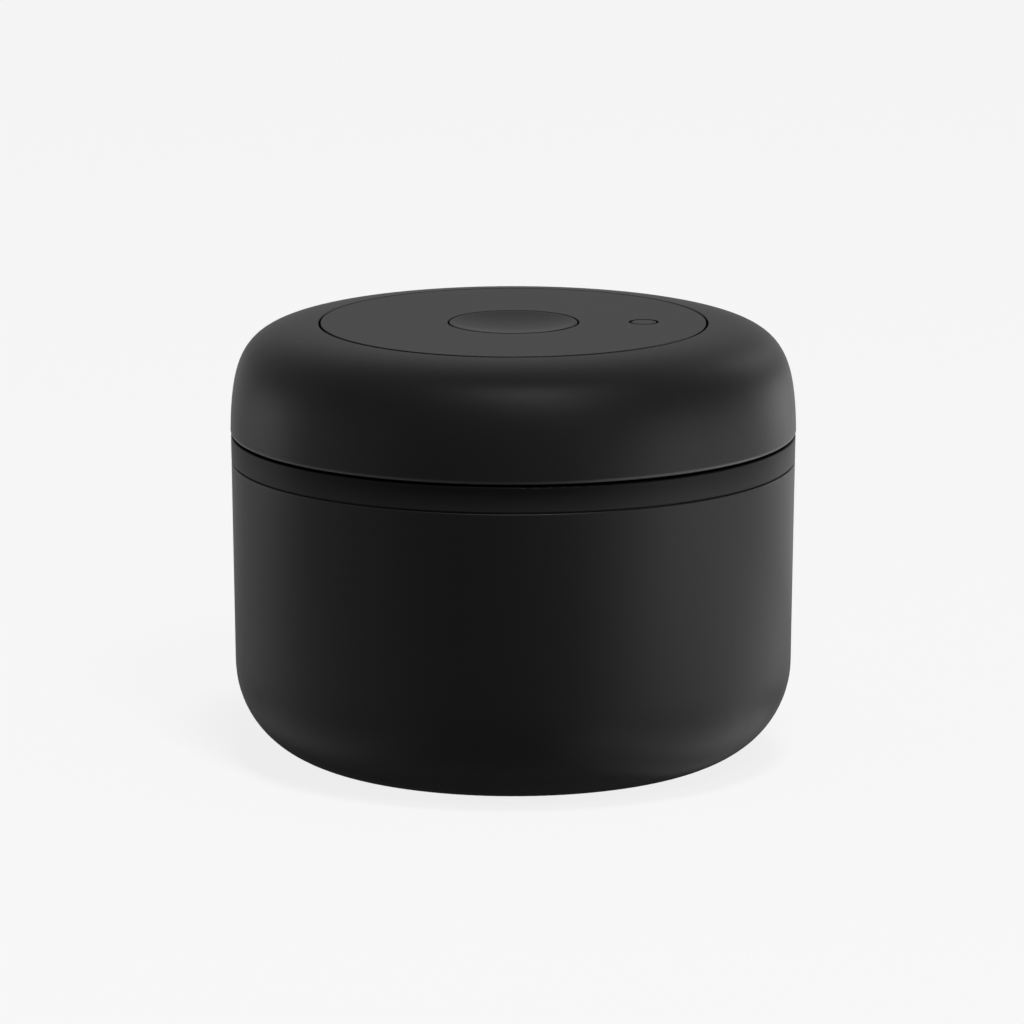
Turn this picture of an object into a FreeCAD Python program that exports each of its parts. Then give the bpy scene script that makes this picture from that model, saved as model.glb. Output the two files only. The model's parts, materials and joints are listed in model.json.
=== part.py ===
import FreeCAD, Part
import math
import os

# Round food canister with a hand-pumped vacuum lid. Twisting the domed cap back and forth drives
# three small pistons that draw air out of the canister. The button in the middle lets air back in,
# and the small pin beside it sinks while the vacuum holds. Millimetres, Z up, Z = 0 is the table.

# Overall sizes
lid_radius = 55.0
rim_height = 59.35
rim_gap = 0.3
band_height = 4.85
cap_gap = 0.38
cap_height = 21.62

# Canister shell, drawn from sheet steel
shell_wall = 0.8
rim_setback = 0.2
wall_draft_share = 0.0158
foot_height = 20.4
foot_width = 23.1
foot_side_share = 0.556
foot_base_share = 0.62
stand_width = 5.0
dish_slope = 2.0
dish_depth = 1.2
rim_round = 0.3

# Twist cap
cap_wall = 2.2
shoulder_width = 17.16
roll_width = 20.6
roll_height = 24.0
crown_share = 0.887
roll_side_share = 0.804
collar_wall = 2.2
lip_reach = 3.3
lip_thickness = 1.8
lip_gap = 0.3
cap_edge_round = 0.75
hole_round = 0.25
ledge_width = 2.05
ledge_thickness = 2.2
ledge_rise = 1.12

# Lid base: band, flange, plug and tub in one moulding
spigot_clearance = 0.35
spigot_rise = 4.5
tub_wall = 2.2
flange_thickness = 2.65
rim_gap_depth = 0.5
band_lower_round = 0.15
band_upper_round = 0.2
glide_channel = 2.2
glide_clearance = 0.15
plug_depth = 15.45
plug_round = 0.8
channel_width = 4.0
step_wall = 2.2
filter_recess = 4.1
floor_thickness = 2.2
groove_drop = 2.35
groove_height = 6.0
groove_depth = 1.1
seat_clearance = 0.05

# Rim gasket, with lips that wipe the canister wall
gasket_wall = 1.8
gasket_clearance = 0.15
gasket_lip_count = 2
gasket_lip_start = 0.5
gasket_lip_rise = 1.2
gasket_lip_root = 1.2
gasket_lip_tip = 0.7

# Release valve: button, stem, seal, clip, guide tube and spring
button_radius = 12.4
button_gap = 0.4
button_sag = 1.0
button_rim = 0.6
button_wall = 1.55
button_round = 0.2
button_flange_reach = 1.4
button_flange_thickness = 1.0
button_ceiling_depth = 3.1
button_travel = 2.0
stem_radius = 2.4
stem_end_radius = 1.8
stem_collar_radius = 3.0
stem_collar_length = 1.0
stem_tail = 0.4
boss_wall = 1.3
boss_length = 2.2
socket_depth = 1.8
tube_bore_radius = 3.3
tube_wall = 1.2
tube_seat_depth = 3.5
tube_head = 0.6
seal_radius = 6.2
seal_thickness = 1.6
seal_pocket_gap = 1.4
seal_pocket_rise = 0.6
valve_boss_wall = 1.8
valve_boss_rise = 5.8
clip_thickness = 0.8
clip_reach = 2.0
clip_groove_depth = 0.6
clip_gap_angle = 70.0
release_wire = 0.5
release_turns = 4

# Pumps
pump_count = 3
pump_start_angle = 60.0
twist_angle = 75.0
pump_gasket_thickness = 0.8
block_plate = 1.6
block_margin = 0.6
cylinder_wall = 1.4
cylinder_cam_gap = 1.7
cylinder_hub_gap = 4.6
overtravel = 0.85
piston_clearance = 0.4
piston_floor_gap = 0.7
piston_flange = 0.8
piston_groove_height = 2.4
piston_groove_depth = 2.6
rod_radius = 3.5
cup_clearance = 0.08
cup_wall = 0.7
cup_base = 0.9
umbrella_radius = 5.0
umbrella_height = 1.1
umbrella_edge = 0.4
umbrella_stem_radius = 1.1
umbrella_bulb_radius = 1.7
umbrella_bulb_length = 1.6
port_radius = 0.8
port_circle = 2.9
port_count = 6

# Crosshead that carries the pistons, and its followers
hub_radius = 8.5
hub_clearance = 0.1
hub_boss_gap = 1.0
arm_gap = 0.4
arm_thickness = 4.0
arm_width = 8.0
arm_eye_radius = 5.2
arm_end_gap = 0.7
arm_button_gap = 1.0
follower_radius = 2.2
follower_shank_radius = 1.4
follower_shank_length = 5.5
follower_end_gap = 0.3

# Cam ring with its helical slots
cam_tub_gap = 3.6
cam_wall = 3.0
cam_edge = 2.4
slot_clearance = 0.25
lug_screw_offset = 3.4
lug_width = 7.0
lug_thickness = 2.6
lug_rise = 8.8
cam_boss_radius = 2.6

# Carrier plate, top plate and posts
plate_gap = 0.45
top_plate_thickness = 1.6
top_plate_round = 0.2
carrier_thickness = 2.2
carrier_setback = 0.2
post_radius = 3.0
post_gap = 0.7
post_angle_offset = -30.0

# Vacuum indicator
indicator_edge_gap = 4.04
indicator_pin_radius = 2.4
indicator_gap = 0.55
indicator_lip = 0.8
indicator_round = 0.15
indicator_head_gap = 0.2
indicator_head_height = 4.2
indicator_stop_gap = 0.3
indicator_chamber_depth = 12.0
sleeve_top_wall = 0.6
sleeve_wall = 1.3
sleeve_flange_height = 2.5
tower_wall = 1.6
tower_bore_radius = 3.6
duct_radius = 1.5
seal_ring_wire = 1.1
seal_ring_clearance = 0.05
indicator_wire = 0.35
indicator_turns = 5
indicator_spring_clearance = 0.5

# Filter under the tub floor
grille_thickness = 1.3
grille_clearance = 0.1
grille_collar_wall = 1.5
grille_collar_height = 1.8
grille_hub_radius = 8.0
grille_bar = 3.0
grille_slot_width = 2.2
grille_slot_counts = (12, 24)
mesh_thickness = 0.4

# Screws
screw_radius = 1.2
screw_clearance = 0.05
screw_head_radius = 2.4
screw_head_height = 1.3
screw_head_clearance = 0.1
screw_socket_radius = 0.9
screw_socket_depth = 0.8
screw_grip = 5.0
screw_tip_gap = 0.3
screw_tip_wall = 0.4
screw_boss_radius = 2.6
screw_boss_height = 2.0
block_screw_inset = 4.0

# Working values
overrun = 1.0
match_tolerance = 0.001
points_per_turn = 48

ORIGIN = FreeCAD.Vector(0, 0, 0)
ACROSS = FreeCAD.Vector(1, 0, 0)
UP = FreeCAD.Vector(0, 0, 1)
FULL_TURN = 360.0
sector = FULL_TURN / pump_count
pump_angles = [pump_start_angle + sector * i for i in range(pump_count)]
post_angles = [angle + post_angle_offset for angle in pump_angles]
block_screw_angles = [angle - sector / 2 for angle in pump_angles]
lug_angles = [angle - twist_angle / 2 + sector / 2 for angle in pump_angles]

# Heights that follow, from the rim both ways
band_bottom = rim_height + rim_gap
band_top = band_bottom + band_height
cap_bottom = band_top + cap_gap
top = cap_bottom + cap_height
carrier_top = top - top_plate_thickness
carrier_bottom = carrier_top - carrier_thickness
lip_top = carrier_bottom - lip_gap
lip_bottom = lip_top - lip_thickness
ledge_bottom = cap_bottom + ledge_rise
plug_bottom = rim_height - plug_depth
floor_bottom = plug_bottom + filter_recess
floor_top = floor_bottom + floor_thickness
flange_top = rim_height + flange_thickness
gasket_top = rim_height - groove_drop
gasket_bottom = gasket_top - groove_height
block_bottom = floor_top + pump_gasket_thickness
plate_top = block_bottom + block_plate
seat_height = floor_top + seal_pocket_rise
seal_top = seat_height - seat_clearance
seal_bottom = seal_top - seal_thickness
clip_bottom = seal_bottom - clip_thickness
valve_boss_top = floor_top + valve_boss_rise
tube_bottom = valve_boss_top - tube_seat_depth
piston_bottom = floor_top + umbrella_height + piston_floor_gap
groove_bottom = piston_bottom + piston_flange
groove_top = groove_bottom + piston_groove_height
piston_top = groove_top + piston_flange
button_ceiling = top - button_ceiling_depth
button_boss_bottom = button_ceiling - boss_length
socket_top = button_boss_bottom + socket_depth
button_bottom = lip_top - button_flange_thickness
tower_top = carrier_bottom - sleeve_flange_height
chamber_bottom = tower_top - indicator_chamber_depth
indicator_head_top = tower_top - indicator_stop_gap
indicator_head_bottom = indicator_head_top - indicator_head_height
mesh_bottom = plug_bottom + grille_thickness
screw_boss_bottom = floor_bottom - screw_boss_height

# The arms rise from the cylinder tops until they nearly meet the pressed button. The cylinders are
# one stroke taller than the piston cups, so the stroke is half of the height that is left.
arm_ceiling = button_bottom - button_travel - arm_button_gap
stroke = (arm_ceiling - groove_top - overtravel - arm_gap - arm_thickness) / 2
cylinder_top = groove_top + stroke + overtravel
arm_bottom = cylinder_top + arm_gap
arm_top = arm_bottom + arm_thickness
follower_height = (arm_bottom + arm_top) / 2
tube_top = arm_ceiling + tube_head
slot_radius = follower_radius + slot_clearance
cam_bottom = follower_height - slot_radius - cam_edge
cam_top = follower_height + stroke + slot_radius + cam_edge
lug_bottom = cam_bottom + lug_rise
lug_top = lug_bottom + lug_thickness

# Radii that follow, from the outside in
rim_radius = lid_radius - rim_setback
cap_bore = lid_radius - cap_wall
ledge_bore = cap_bore - ledge_width
spigot_radius = ledge_bore - spigot_clearance
groove_radius = spigot_radius - groove_depth
glide_radius = spigot_radius + glide_channel
tub_bore = spigot_radius - tub_wall
step_radius = tub_bore - channel_width
recess_radius = step_radius - step_wall
grille_radius = recess_radius - grille_clearance
collar_bore = grille_radius - grille_collar_wall
cam_radius = tub_bore - cam_tub_gap
cam_bore = cam_radius - cam_wall
lug_circle = cam_radius + lug_screw_offset
arm_reach = cam_bore - arm_end_gap
cylinder_reach = cam_bore - cylinder_cam_gap
cylinder_radius = (cylinder_reach - hub_radius - cylinder_hub_gap) / 2
bore_radius = cylinder_radius - cylinder_wall
crown_radius = bore_radius - piston_clearance
cup_bore = crown_radius - piston_groove_depth
pump_circle = cylinder_reach - cylinder_radius
block_radius = cylinder_reach + block_margin
block_screw_circle = block_radius - block_screw_inset
hole_radius = lid_radius - shoulder_width
plate_radius = hole_radius - plate_gap
carrier_radius = plate_radius - carrier_setback
lip_bore = hole_radius - lip_reach
post_circle = lip_bore - post_gap - post_radius
tube_radius = tube_bore_radius + tube_wall
button_bore = button_radius + button_gap
socket_radius = stem_end_radius + seat_clearance
seal_pocket_radius = seal_radius + seal_pocket_gap
valve_boss_radius = seal_pocket_radius + valve_boss_wall
indicator_bore = indicator_pin_radius + indicator_gap
sleeve_radius = indicator_bore + sleeve_wall
sleeve_top_radius = indicator_bore + sleeve_top_wall
tower_radius = tower_bore_radius + tower_wall
indicator_offset = lip_bore - indicator_edge_gap - tower_radius
screw_hole_radius = screw_radius + screw_clearance
screw_recess_radius = screw_head_radius + screw_head_clearance
screw_recess_depth = screw_head_height + screw_head_clearance


# Shared shapes
def wall_radius(height):
    """Outer radius of the drafted wall, on the canister and on the band above it."""
    return rim_radius - wall_draft_share * (rim_height - height)


def at(point):
    """Place of a (radius, height) point of a turned profile."""
    return FreeCAD.Vector(point[0], 0, point[1])


def line(start, end):
    """Straight edge between two points of a turned profile."""
    return Part.LineSegment(at(start), at(end)).toShape()


def arc(start, middle, end):
    """Round edge through three points of a turned profile."""
    return Part.Arc(at(start), at(middle), at(end)).toShape()


def bezier(points):
    """Smooth curve over the control points of a turned profile."""
    smooth = Part.BezierCurve()
    smooth.setPoles([at(point) for point in points])
    return smooth


def chain(points):
    """Straight edges from each point of a turned profile to the next."""
    return [line(a, b) for a, b in zip(points, points[1:])]


def turn_edges(edges, angle=FULL_TURN):
    """Solid turned about the Z axis from a closed loop of profile edges."""
    return Part.Face(Part.Wire(edges)).revolve(ORIGIN, UP, angle)


def turn(points, angle=FULL_TURN):
    """Solid turned about the Z axis from a polygon of (radius, height) points."""
    return turn_edges(chain(points + points[:1]), angle)


def ring(inner, outer, low, high, angle=FULL_TURN):
    """Plain turned ring between two heights."""
    return turn([(inner, low), (outer, low), (outer, high), (inner, high)], angle)


def rod(radius, low, high, place=ORIGIN):
    """Upright round bar between two heights, with its axis at a place."""
    return Part.makeCylinder(radius, high - low, place + UP * low)


def polar(radius, angle):
    """Place at a radius and at an angle in degrees."""
    way = math.radians(angle)
    return FreeCAD.Vector(radius * math.cos(way), radius * math.sin(way), 0)


def turned(shape, angle):
    """Copy of a shape, turned about the Z axis."""
    copy = shape.copy()
    copy.rotate(ORIGIN, UP, angle)
    return copy


def moved(shape, place):
    """Copy of a shape, moved to a place."""
    copy = shape.copy()
    copy.translate(place)
    return copy


def same(a, b):
    """Whether two lengths are alike."""
    return abs(a - b) < match_tolerance


def round_rings(shape, radius, wanted):
    """Round the circular edges of a turned piece whose radius and height are wanted."""
    drawn = [edge for edge in shape.Edges if not edge.Degenerated]
    circles = [edge for edge in drawn if isinstance(edge.Curve, Part.Circle)]
    picked = [edge for edge in circles if wanted(edge.Curve.Radius, edge.Curve.Center.z)]
    return shape.makeFillet(radius, picked)


def screw(head_seat, grip, place, head_up=True):
    """Pan-head screw with a round driver socket, its head seated at a height."""
    edge = screw_head_height / 2
    socket_floor = screw_head_height - screw_socket_depth
    body = turn([(0, -grip), (screw_radius, -grip), (screw_radius, 0), (screw_head_radius, 0),
                 (screw_head_radius, edge), (screw_head_radius - edge, screw_head_height),
                 (screw_socket_radius, screw_head_height), (screw_socket_radius, socket_floor),
                 (0, socket_floor)])
    if not head_up:
        body.rotate(ORIGIN, ACROSS, FULL_TURN / 2)
    return moved(body, place + UP * head_seat)


def screws(head_seat, grip, circle, angles, head_up=True):
    """Group of like screws on a circle."""
    return Part.makeCompound([screw(head_seat, grip, polar(circle, angle), head_up) for angle in angles])


def biarc(start, start_way, end, end_way):
    """Two arcs that leave the start and reach the end along the given unit directions."""
    chord = end - start
    turning = 2 * (1 - start_way.dot(end_way))
    along = chord.dot(start_way + end_way)
    reach = (math.sqrt(along * along + turning * chord.dot(chord)) - along) / turning
    first = start + start_way * reach
    last = end - end_way * reach
    middle = (first + last) / 2
    arcs = []
    for a, corner, b in ((start, first, middle), (middle, last, end)):
        base = (a + b) / 2
        half = (b - a).Length / 2
        rise = corner - base
        crest = base + rise * (half * (reach - half) / rise.dot(rise))
        arcs.append(Part.Arc(a, crest, b).toShape())
    return arcs


def spring(radius, wire, low, high, turns, place=ORIGIN):
    """Round-wire helix between two heights, on biarcs of a quarter turn. Prints its least gap."""
    rise = high - low - wire
    whole_way = 2 * math.pi * turns
    quarters = 4 * turns

    def point(share):
        flat = polar(radius, math.degrees(whole_way * share))
        return place + flat + UP * (low + wire / 2 + rise * share)

    def way(share):
        flat = polar(whole_way * radius, math.degrees(whole_way * share) + FULL_TURN / 4)
        return (flat + UP * rise).normalize()

    edges = []
    for i in range(quarters):
        a, b = i / quarters, (i + 1) / quarters
        edges += biarc(point(a), way(a), point(b), way(b))
    section = Part.Wire(Part.makeCircle(wire / 2, point(0), way(0)))
    body = Part.Wire(edges).makePipeShell([section], True, False)
    steps = turns * points_per_turn
    path = [point(i / steps) for i in range(steps + 1)]
    pairs = ((a, b) for i, a in enumerate(path) for b in path[i + points_per_turn // 2:])
    print("least gap between spring turns", round(min((b - a).Length for a, b in pairs) - wire, 3))
    return body


# Canister
def foot_curve(inset):
    """Control points from the wall into the base, moved in by the wall for the inner face."""
    side = wall_radius(foot_height) - inset
    flat = wall_radius(foot_height) - foot_width
    drop = foot_height - inset
    reach = side - flat
    return [(side, foot_height), (side, foot_height - foot_side_share * drop),
            (side - (1 - foot_base_share) * reach, inset), (flat, inset)]


def canister_shell():
    """Deep-drawn shell with a drafted wall, a large foot curve and a base dished inside its ring."""
    outer = foot_curve(0)
    inner = foot_curve(shell_wall)
    stand = outer[-1][0] - stand_width
    dish = stand - dish_slope
    rim_bore = rim_radius - shell_wall
    dish_top = dish_depth + shell_wall
    edges = chain([(0, dish_depth), (dish, dish_depth), (stand, 0), outer[-1]])
    edges += [bezier(outer).toShape()]
    edges += chain([outer[0], (rim_radius, rim_height), (rim_bore, rim_height), inner[0]])
    edges += [bezier(inner).toShape()]
    edges += chain([inner[-1], (stand, shell_wall), (dish, dish_top), (0, dish_top), (0, dish_depth)])
    return round_rings(turn_edges(edges), rim_round, lambda radius, height: same(radius, rim_radius))


# Lid base and what seals it
def lid_base():
    """Band, flange, plug and stepped tub floor, with its valve seat, ports and blind screw bosses."""
    tube_seat = tube_radius + seat_clearance
    spigot_top = band_top + spigot_rise
    step_top = plug_bottom + floor_thickness
    band_radius = wall_radius(band_top)
    band_foot = wall_radius(band_bottom)
    gap_radius = rim_radius - rim_gap_depth
    body = turn([
        (tube_bore_radius, seat_height), (seal_pocket_radius, seat_height),
        (seal_pocket_radius, floor_bottom), (recess_radius, floor_bottom),
        (recess_radius, plug_bottom), (spigot_radius, plug_bottom),
        (spigot_radius, gasket_bottom), (groove_radius, gasket_bottom),
        (groove_radius, gasket_top), (spigot_radius, gasket_top),
        (spigot_radius, rim_height), (gap_radius, rim_height),
        (gap_radius, band_bottom), (band_foot, band_bottom),
        (band_radius, band_top), (glide_radius, band_top),
        (glide_radius, flange_top), (spigot_radius, flange_top),
        (spigot_radius, spigot_top), (tub_bore, spigot_top),
        (tub_bore, step_top), (step_radius, step_top),
        (step_radius, floor_top), (valve_boss_radius, floor_top),
        (valve_boss_radius, valve_boss_top), (tube_seat, valve_boss_top),
        (tube_seat, tube_bottom), (tube_bore_radius, tube_bottom)])
    body = round_rings(body, band_upper_round, lambda radius, height: same(radius, band_radius))
    body = round_rings(body, band_lower_round, lambda radius, height: same(radius, band_foot))
    body = round_rings(body, plug_round,
                       lambda radius, height: same(radius, spigot_radius) and same(height, plug_bottom))
    hole_low = screw_boss_bottom + screw_tip_wall
    bosses = []
    holes = [rod(duct_radius, floor_bottom - overrun, floor_top + overrun, ACROSS * indicator_offset)]
    for angle in block_screw_angles:
        place = polar(block_screw_circle, angle)
        bosses.append(rod(screw_boss_radius, screw_boss_bottom, floor_top, place))
        holes.append(rod(screw_hole_radius, hole_low, floor_top + overrun, place))
    for angle in pump_angles:
        centre = polar(pump_circle, angle)
        stem_hole = umbrella_stem_radius + seat_clearance
        holes.append(rod(stem_hole, floor_bottom - overrun, floor_top + overrun, centre))
        for i in range(port_count):
            place = centre + polar(port_circle, angle + FULL_TURN * i / port_count)
            holes.append(rod(port_radius, floor_bottom - overrun, floor_top + overrun, place))
    return body.fuse(bosses).cut(holes).removeSplitter()


def rim_gasket():
    """Silicone ring in the plug's groove, with thin lips that lean up to the canister wall."""
    low = gasket_bottom + seat_clearance
    high = gasket_top - seat_clearance
    bore = groove_radius + seat_clearance
    body = bore + gasket_wall
    points = [(bore, low), (body, low)]
    for i in range(gasket_lip_count):
        root = low + gasket_lip_start + (high - low) * i / gasket_lip_count
        tip = root + gasket_lip_rise
        reach = wall_radius(tip) - shell_wall - gasket_clearance
        points += [(body, root), (reach, tip), (reach, tip + gasket_lip_tip), (body, root + gasket_lip_root)]
    return turn(points + [(body, high), (bore, high)])


def glide_ring():
    """Slippery ring in the band's channel that the cap's ledge turns on."""
    return ring(spigot_radius + glide_clearance, glide_radius - glide_clearance,
                flange_top, ledge_bottom - glide_clearance)


# Pumps
def block_holes(low, high):
    """Holes that the block and its gasket share: bores, valve boss, duct and screws."""
    holes = [rod(valve_boss_radius + seat_clearance, low, high)]
    holes += [rod(bore_radius, low, high, polar(pump_circle, angle)) for angle in pump_angles]
    holes += [rod(screw_hole_radius, low, high, polar(block_screw_circle, angle))
              for angle in block_screw_angles]
    holes.append(rod(duct_radius, low, high, ACROSS * indicator_offset))
    return holes


def pump_gasket():
    """Flat silicone sheet between the tub floor and the pump block."""
    sheet = rod(block_radius, floor_top, block_bottom)
    return sheet.cut(block_holes(floor_top - overrun, block_bottom + overrun))


def pump_block():
    """Plate with the pump cylinders, the posts of the carrier plate and the indicator's tower."""
    body = [rod(cylinder_radius, block_bottom, cylinder_top, polar(pump_circle, angle))
            for angle in pump_angles]
    body += [rod(post_radius, block_bottom, carrier_bottom, polar(post_circle, angle))
             for angle in post_angles]
    body.append(rod(tower_radius, block_bottom, tower_top, ACROSS * indicator_offset))
    holes = block_holes(block_bottom - overrun, carrier_bottom + overrun)
    holes.append(rod(tower_bore_radius, chamber_bottom, tower_top + overrun, ACROSS * indicator_offset))
    hole_low = carrier_bottom - screw_grip - screw_tip_gap
    holes += [rod(screw_hole_radius, hole_low, carrier_bottom + overrun, polar(post_circle, angle))
              for angle in post_angles]
    return rod(block_radius, block_bottom, plate_top).fuse(body).cut(holes).removeSplitter()


def inlet_valve(angle):
    """Silicone umbrella valve that covers the ports in a cylinder's floor."""
    tip = floor_bottom - umbrella_bulb_length
    body = turn([(0, floor_top + umbrella_height), (umbrella_radius, floor_top + umbrella_edge),
                 (umbrella_radius, floor_top), (umbrella_stem_radius, floor_top),
                 (umbrella_stem_radius, floor_bottom), (umbrella_bulb_radius, floor_bottom),
                 (umbrella_stem_radius, tip), (0, tip)])
    return moved(body, polar(pump_circle, angle))


def piston(angle):
    """Piston crown with the groove of its cup, and the rod that is screwed to the crosshead."""
    hole_low = arm_top - screw_recess_depth - screw_grip - screw_tip_gap
    body = turn([(0, piston_bottom), (crown_radius, piston_bottom), (crown_radius, groove_bottom),
                 (cup_bore, groove_bottom), (cup_bore, groove_top), (crown_radius, groove_top),
                 (crown_radius, piston_top), (rod_radius, piston_top), (rod_radius, arm_bottom),
                 (screw_hole_radius, arm_bottom), (screw_hole_radius, hole_low), (0, hole_low)])
    return moved(body, polar(pump_circle, angle))


def piston_cup(angle):
    """Cup seal, open upwards: it holds on the way up and lets air past on the way down."""
    low = groove_bottom + seat_clearance
    high = groove_top - seat_clearance
    bore = cup_bore + seat_clearance
    tip = bore_radius - cup_clearance
    valley = (bore + tip) / 2
    body = turn([(bore, low), (crown_radius, low), (tip, high), (tip - cup_wall, high),
                 (valley, low + cup_base), (bore + cup_wall, high), (bore, high)])
    return moved(body, polar(pump_circle, angle))


def follower_bar(radius, start, end):
    """Round bar along X at the followers' height."""
    return Part.makeCylinder(radius, end - start, ACROSS * start + UP * follower_height, ACROSS)


def crosshead():
    """Hub on the guide tube with one arm for each piston. Each arm's end holds a follower."""
    hub = ring(tube_radius + hub_clearance, hub_radius, valve_boss_top + hub_boss_gap, arm_top)
    solids = []
    holes = []
    for angle in pump_angles:
        arm = Part.makeBox(arm_reach, arm_width, arm_thickness,
                           FreeCAD.Vector(0, -arm_width / 2, arm_bottom))
        arm = arm.common(ring(tube_radius + hub_clearance, arm_reach, arm_bottom, arm_top))
        solids.append(turned(arm, angle))
        place = polar(pump_circle, angle)
        solids.append(rod(arm_eye_radius, arm_bottom, arm_top, place))
        holes.append(rod(screw_hole_radius, arm_bottom - overrun, arm_top + overrun, place))
        holes.append(rod(screw_recess_radius, arm_top - screw_recess_depth, arm_top + overrun, place))
        socket = follower_bar(follower_shank_radius + seat_clearance,
                              arm_reach - follower_shank_length - seat_clearance, arm_reach + overrun)
        holes.append(turned(socket, angle))
    return hub.fuse(solids).cut(holes).removeSplitter()


def cam_follower(angle):
    """Stepped pin: its shank sits in the arm's end and its head slides in a slot of the cam ring."""
    shank = follower_bar(follower_shank_radius, arm_reach - follower_shank_length, arm_reach + overrun)
    head = follower_bar(follower_radius, arm_reach, cam_radius - follower_end_gap)
    return turned(head.fuse(shank).removeSplitter(), angle)


# Twist cap and its cam
def roll(inset):
    """Curve of the cap from its flat crown to its side, moved in for the inner face."""
    flat = lid_radius - roll_width
    side = lid_radius - inset
    crown = top - inset
    low = top - roll_height
    return bezier([(flat, crown), (flat + crown_share * (side - flat), crown),
                   (side, low + roll_side_share * (crown - low)), (side, low)])


def crossing(face, start, end):
    """Where a straight line of the profile meets a curved face: the parameter and the point."""
    hit = face.intersect(Part.LineSegment(at(start), at(end)))[0]
    return face.parameter(FreeCAD.Vector(hit.X, hit.Y, hit.Z)), (hit.X, hit.Z)


def cap_form():
    """The cap's outer form as one full solid, which the bosses inside it are trimmed to."""
    flat = lid_radius - roll_width
    low = top - roll_height
    return turn_edges([roll(0).toShape()] + chain([(lid_radius, low), (0, low), (0, top), (flat, top)]))


def cap_shell():
    """Domed shell with a collar and a lip round the top plate, a ledge to turn on and cam bosses."""
    collar = hole_radius + collar_wall
    ledge_top = ledge_bottom + ledge_thickness
    outer, inner = roll(0), roll(cap_wall)
    first, hole_edge = crossing(outer, (hole_radius, lip_bottom), (hole_radius, top + overrun))
    last, lower_edge = crossing(outer, (ledge_bore, cap_bottom), (lid_radius + overrun, cap_bottom))
    outer.segment(first, last)
    first, collar_root = crossing(inner, (collar, lip_bottom), (collar, top))
    last, ledge_root = crossing(inner, (ledge_bore, ledge_top), (lid_radius, ledge_top))
    inner.segment(first, last)
    edges = [outer.toShape()]
    edges += chain([lower_edge, (cap_bore, cap_bottom), (cap_bore, ledge_bottom), (ledge_bore, ledge_bottom),
                    (ledge_bore, ledge_top), ledge_root])
    edges += [inner.toShape()]
    edges += chain([collar_root, (collar, lip_bottom), (lip_bore, lip_bottom), (lip_bore, lip_top),
                    (hole_radius, lip_top), hole_edge])
    shell = turn_edges(edges)
    shell = round_rings(shell, cap_edge_round, lambda radius, height: same(radius, lower_edge[0]))
    shell = round_rings(shell, hole_round,
                        lambda radius, height: same(radius, hole_radius) and same(height, hole_edge[1]))
    form = cap_form()
    bosses = []
    holes = []
    for angle in lug_angles:
        place = polar(lug_circle, angle)
        bosses.append(rod(cam_boss_radius, lug_top, top, place).common(form))
        holes.append(rod(screw_hole_radius, lug_top - overrun, lug_top + screw_grip + screw_tip_gap, place))
    return shell.fuse(bosses).cut(holes).removeSplitter()


def slot_cutter():
    """Helical slot that rises by the stroke over the twist angle, with round ends."""
    low = cam_bore - overrun
    high = cam_radius + overrun
    middle = (cam_bore + cam_radius) / 2
    pitch = stroke * FULL_TURN / twist_angle
    lean = math.atan2(stroke, middle * math.radians(twist_angle))
    half = slot_radius / math.cos(lean)
    helix = Part.makeHelix(pitch, stroke, middle, 0, True)
    sweep = Part.BRepOffsetAPI.MakePipeShell(Part.Wire(helix.Edges))
    sweep.setBiNormalMode(UP)
    sweep.add(Part.Wire(chain([(low, -half), (high, -half), (high, half), (low, half), (low, -half)])))
    sweep.build()
    sweep.makeSolid()
    end = Part.makeCylinder(slot_radius, high - low, ACROSS * low, ACROSS)
    upper_end = turned(moved(end, UP * stroke), -twist_angle)
    return moved(sweep.shape().fuse([end, upper_end]), UP * follower_height)


def cam_ring():
    """Sleeve with three helical slots that lift the followers, hung from the cap by three lugs."""
    body = ring(cam_bore, cam_radius, cam_bottom, cam_top)
    lugs = []
    holes = []
    for angle in lug_angles:
        bar = Part.makeBox(lug_circle - cam_bore, lug_width, lug_thickness,
                           FreeCAD.Vector(cam_bore, -lug_width / 2, lug_bottom))
        eye = rod(lug_width / 2, lug_bottom, lug_top, ACROSS * lug_circle)
        lug = bar.fuse(eye).cut(rod(cam_radius - cam_wall / 2, lug_bottom - overrun, lug_top + overrun))
        lugs.append(turned(lug, angle))
        place = polar(lug_circle, angle)
        holes.append(rod(screw_hole_radius, lug_bottom - overrun, lug_top + overrun, place))
    body = body.fuse(lugs).cut(holes)
    for angle in pump_angles:
        body = body.cut(turned(slot_cutter(), angle))
    return body.removeSplitter()


# Fixed top: carrier plate and top plate
def carrier_plate():
    """Plate on the posts. It holds the cap's lip down and guides the button."""
    body = rod(carrier_radius, carrier_bottom, carrier_top)
    low = carrier_bottom - overrun
    high = carrier_top + overrun
    holes = [rod(button_bore, low, high),
             rod(sleeve_radius + seat_clearance, low, high, ACROSS * indicator_offset)]
    for angle in post_angles:
        place = polar(post_circle, angle)
        holes.append(rod(screw_hole_radius, low, high, place))
        holes.append(rod(screw_recess_radius, carrier_top - screw_recess_depth, high, place))
    return body.cut(holes)


def top_plate():
    """Flat disc that closes the top, with the button's hole and the indicator's small hole."""
    body = rod(plate_radius, carrier_top, top).cut(rod(button_bore, carrier_top - overrun, top + overrun))
    body = round_rings(body, top_plate_round, lambda radius, height: same(height, top))
    place = ACROSS * indicator_offset
    holes = [rod(indicator_bore, carrier_top - overrun, top + overrun, place),
             rod(sleeve_top_radius + seat_clearance, carrier_top - overrun, top - indicator_lip, place)]
    return body.cut(holes)


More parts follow.
